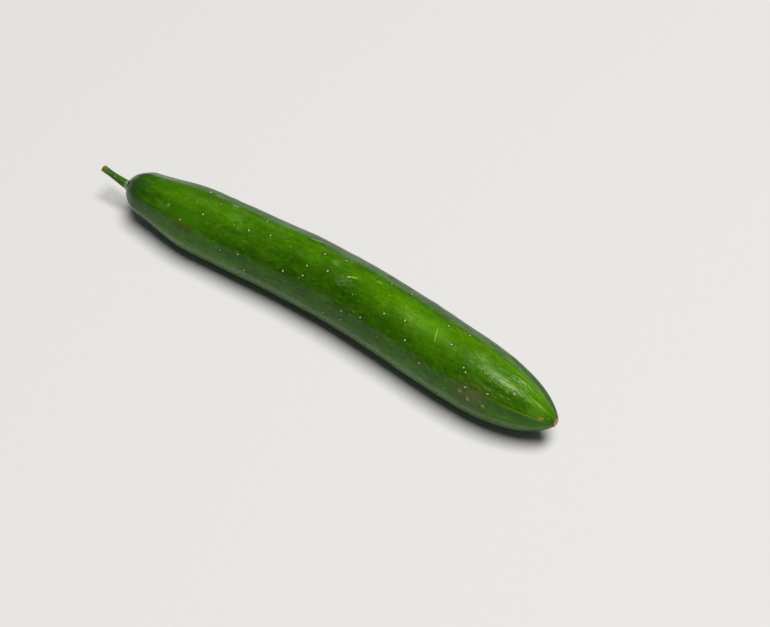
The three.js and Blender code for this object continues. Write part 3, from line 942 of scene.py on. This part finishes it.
def stalk_tree():
    """The tree of the stalk: a ribbed tube along a curve, flared at its foot, closed at its cut."""
    tree, size = new_tree("stalk_rule", STALK_SIZES)
    grid, run, angle = tube_grid(tree, size)
    body_end = add(tree, MATH, (1.0, size["Cut share"]), "SUBTRACT")
    share = add(tree, RANGE, (run, 0.0, body_end, 0.0, 1.0))
    cap = add(tree, RANGE, (run, body_end, 1.0, 0.0, 1.0))

    root_to_waist = (share, 0.0, size["Taper share"], size["Root radius"], size["Waist radius"])
    body = add(tree, RANGE, root_to_waist, **SMOOTH)
    flare = add(tree, RANGE, (share, 0.0, size["Flare share"], 1.0, 0.0))
    flare = add(tree, MATH, (flare, FLARE_POWER), "POWER")
    foot = add(tree, MATH, (size["Foot radius"], size["Root radius"]), "SUBTRACT")
    body = add(tree, MATH, (flare, foot, body), "MULTIPLY_ADD")
    swell = add(tree, MATH, (size["End radius"], size["Waist radius"]), "SUBTRACT")
    swell = add(tree, RANGE, (share, size["Taper share"], 1.0, 0.0, swell), **SMOOTH)
    body = add(tree, MATH, (body, swell), "ADD")
    lobes = add(tree, MATH, (angle, size["Ribs"]), "MULTIPLY")
    lobes = add(tree, MATH, (lobes,), "COSINE")
    lobes = add(tree, MATH, (lobes, size["Rib share"], 1.0), "MULTIPLY_ADD")
    closing = add(tree, MATH, (1.0, cap), "SUBTRACT")
    opening = add(tree, MATH, (run, FIRST_ROW), "GREATER_THAN")
    radius = body
    for factor in (lobes, closing, opening):
        radius = add(tree, MATH, (radius, factor), "MULTIPLY")

    # Where the points lie before the curve bends them, for fibres that follow the stalk
    along = add(tree, MATH, (share, size["Length"]), "MULTIPLY")
    across, upward = around_axis(tree, radius, angle)
    straight = add(tree, COMBINE, (along, across, upward))

    back = add(tree, MATH, (size["Length"], -1.0), "MULTIPLY")
    first = add(tree, MATH, (back, size["Bend share"]), "MULTIPLY")
    first = add(tree, COMBINE, (first,))
    middle = add(tree, VECTOR_MATH, (size["Start"], first), "ADD")
    last = add(tree, COMBINE, (back, size["Sway"], size["Rise"]))
    finish = add(tree, VECTOR_MATH, (size["Start"], last), "ADD")
    wires = {"Resolution": CURVE_STEPS, "Start": size["Start"], "Middle": middle, "End": finish}
    curve = add(tree, "GeometryNodeCurveQuadraticBezier", wires)
    short = add(tree, MATH, (size["Cut bevel"], size["Length"]), "DIVIDE")
    short = add(tree, MATH, (1.0, short), "SUBTRACT")
    factor = add(tree, MATH, (share, short), "MULTIPLY")
    wires = {"Curves": curve, "Factor": factor}
    sample = add(tree, "GeometryNodeSampleCurve", wires, mode="FACTOR")
    heading = sample.outputs["Tangent"]
    side = add(tree, VECTOR_MATH, ((0.0, 0.0, 1.0), heading), "CROSS_PRODUCT")
    side = add(tree, VECTOR_MATH, (side,), "NORMALIZE")
    up = add(tree, VECTOR_MATH, (heading, side), "CROSS_PRODUCT")

    bevel = add(tree, RANGE, (cap, *BEVEL_RUN, 0.0, size["Cut bevel"]))
    hollow = add(tree, RANGE, (cap, *HOLLOW_RUN, 0.0, size["Cut hollow"]), **SMOOTH)
    forward = add(tree, MATH, (bevel, hollow), "SUBTRACT")
    torn = add(tree, NOISE, {"Vector": straight, "Scale": 1 / TORN_WIDTH, "Detail": 2.0})
    torn = add(tree, MATH, (torn, 0.5), "SUBTRACT")
    torn = add(tree, MATH, (torn, cap), "MULTIPLY")
    forward = add(tree, MATH, (torn, size["Torn height"], forward), "MULTIPLY_ADD")
    rooted = add(tree, MATH, (share, SUNK_SHARE), "LESS_THAN")
    sunk = add(tree, MATH, (rooted, size["Sunk length"]), "MULTIPLY")
    forward = add(tree, MATH, (forward, sunk), "SUBTRACT")
    point = sample.outputs["Position"]
    for direction, amount in ((side, across), (up, upward), (heading, forward)):
        step = add(tree, VECTOR_MATH, {"Vector": direction, "Scale": amount}, "SCALE")
        point = add(tree, VECTOR_MATH, (point, step), "ADD")

    for name, value in (("share", share), ("cap", cap)):
        grid = store(tree, grid, name, value)
    grid = store(tree, grid, "straight", straight, "FLOAT_VECTOR")
    grid = shaped(tree, grid, point)
    flat = add(tree, NAMED, {"Name": "straight"}, **VECTORS)
    squeeze = add(tree, VECTOR_MATH, (flat, FIBRE_STRETCH), "MULTIPLY")
    scale = add(tree, MATH, (1.0, size["Fibre width"]), "DIVIDE")
    fibre = add(tree, NOISE, {"Vector": squeeze, "Scale": scale, "Detail": 1.0})
    fibre = add(tree, MATH, (fibre, 0.5), "SUBTRACT")
    fibre = add(tree, MATH, (fibre, size["Fibre height"]), "MULTIPLY")
    grid = raised(tree, grid, fibre)
    grid = add(tree, SHADE_SMOOTH, {"Geometry": grid})
    close_tree(tree, grid, size)
    return tree


def scar_tree():
    """The tree of the blossom scar: a low dome of cork with a dented middle and three pits."""
    tree, size = new_tree("scar_rule", SCAR_SIZES)
    grid, run, angle = tube_grid(tree, size)
    dome = add(tree, RANGE, (run, size["Flange share"], 1.0, 0.0, math.pi / 2))
    level = add(tree, MATH, (dome,), "SINE")
    level = add(tree, MATH, (level, DOME_POWER), "POWER")
    reach = add(tree, MATH, (dome,), "COSINE")
    opening = add(tree, MATH, (run, FIRST_ROW), "GREATER_THAN")
    reach = add(tree, MATH, (reach, opening), "MULTIPLY")
    lobes = add(tree, MATH, (angle, PIT_COUNT, size["Pit turn"]), "MULTIPLY_ADD")
    lobes = add(tree, MATH, (lobes,), "COSINE")
    pit = add(tree, RANGE, (lobes, *PIT_ROUND), **SMOOTH)
    for ends in PIT_BANDS:
        band = add(tree, RANGE, (reach, *ends), **SMOOTH)
        pit = add(tree, MATH, (pit, band), "MULTIPLY")
    dent = add(tree, RANGE, (reach, *DENT_REACH), **SMOOTH)
    rim = add(tree, RANGE, (reach, *RIM_REACH), **SMOOTH)
    height = add(tree, MATH, (level, size["Height"]), "MULTIPLY")
    for mask, label in ((dent, "Dent depth"), (pit, "Pit depth")):
        lowered = add(tree, MATH, (mask, size[label]), "MULTIPLY")
        height = add(tree, MATH, (height, lowered), "SUBTRACT")
    sunk = add(tree, RANGE, (run, 0.0, size["Flange share"], size["Sunk depth"], 0.0))
    height = add(tree, MATH, (height, sunk), "SUBTRACT")
    uneven = add(tree, MATH, (angle,), "COSINE")
    uneven = add(tree, MATH, (uneven, OUT_OF_ROUND, 1.0), "MULTIPLY_ADD")
    radius = add(tree, MATH, (reach, size["Radius"]), "MULTIPLY")
    radius = add(tree, MATH, (radius, uneven), "MULTIPLY")
    local = add(tree, COMBINE, (height, *around_axis(tree, radius, angle)))
    lumps = add(tree, NOISE, {"Vector": local, "Scale": 1 / LUMP_WIDTH, "Detail": 3.0})
    lumps = add(tree, MATH, (lumps, LUMP_LEVEL), "SUBTRACT")
    lumps = add(tree, MATH, (lumps, level), "MULTIPLY")
    lumps = add(tree, MATH, (lumps, size["Lump height"]), "MULTIPLY")
    lumps = add(tree, COMBINE, (lumps,))
    point = add(tree, VECTOR_MATH, (local, lumps), "ADD")
    point = add(tree, VECTOR_MATH, (point, size["Centre"]), "ADD")
    for name, value in (("pit", pit), ("rim", rim)):
        grid = store(tree, grid, name, value)
    grid = store(tree, grid, "straight", local, "FLOAT_VECTOR")
    grid = shaped(tree, grid, point)
    grid = add(tree, SHADE_SMOOTH, {"Geometry": grid})
    close_tree(tree, grid, size)
    return tree


# Camera, light and floor
def build_camera():
    """A camera at the photograph's viewing angle, aimed from the start of the fruit's axis."""
    azimuth = math.radians(35.57)
    elevation = math.radians(50)
    distance = 598.9 * MM
    aim = AXIS_START + Vector((121.14, 16.18, -0.4)) * MM
    back = Vector((
        math.sin(azimuth) * math.cos(elevation),
        -math.cos(azimuth) * math.cos(elevation),
        math.sin(elevation),
    ))
    camera = bpy.data.objects.new("camera", bpy.data.cameras.new("camera"))
    camera.data.lens = 70
    camera.data.sensor_width = 36
    camera.data.clip_start = 0.01
    camera.location = aim + back * distance
    camera.rotation_mode = "QUATERNION"
    camera.rotation_quaternion = (-back).to_track_quat("-Z", "Y")
    bpy.context.scene.collection.objects.link(camera)
    bpy.context.scene.camera = camera


def build_light():
    """One large softbox high overhead, and a dim pale room."""
    lamp = bpy.data.lights.new("softbox", "AREA")
    lamp.shape = "RECTANGLE"
    lamp.size = 1.36
    lamp.size_y = 2.2
    lamp.energy = 176
    lamp.color = linear("#fffbf3")[:3]
    softbox = bpy.data.objects.new("softbox", lamp)
    softbox.location = (0.66, 0.09, 3.5)
    bpy.context.scene.collection.objects.link(softbox)
    world = bpy.data.worlds.new("pale_room")
    world.use_nodes = True
    room = world.node_tree
    wire(room, room.nodes["Background"], {"Color": linear("#eef1f6"), "Strength": 0.08})
    bpy.context.scene.world = world
    bpy.context.scene.view_settings.view_transform = "Standard"


def build_floor():
    """A wide sheet of paper a hair below the fruit, so that the two never share a plane."""
    half = 8.0
    drop = -0.05 * MM
    mesh = bpy.data.meshes.new("floor")
    corners = [(-half, -half, drop), (half, -half, drop), (half, half, drop), (-half, half, drop)]
    mesh.from_pydata(corners, [], [(0, 1, 2, 3)])
    floor = bpy.data.objects.new("floor", mesh)
    floor.data.materials.append(matt_white_paper())
    bpy.context.scene.collection.objects.link(floor)


build_camera()
build_light()
build_floor()

skin, spines = build_fruit()
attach(skin, "root")
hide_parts("fruit")
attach(spines, "root")

stalk = bake(stalk_tree(), "stalk_body", STALK_SIZES, fibrous_stalk())
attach(stalk, "root")
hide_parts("stalk")

scar = bake(scar_tree(), "blossom_scar", SCAR_SIZES, corky_scar())
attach(scar, "root")
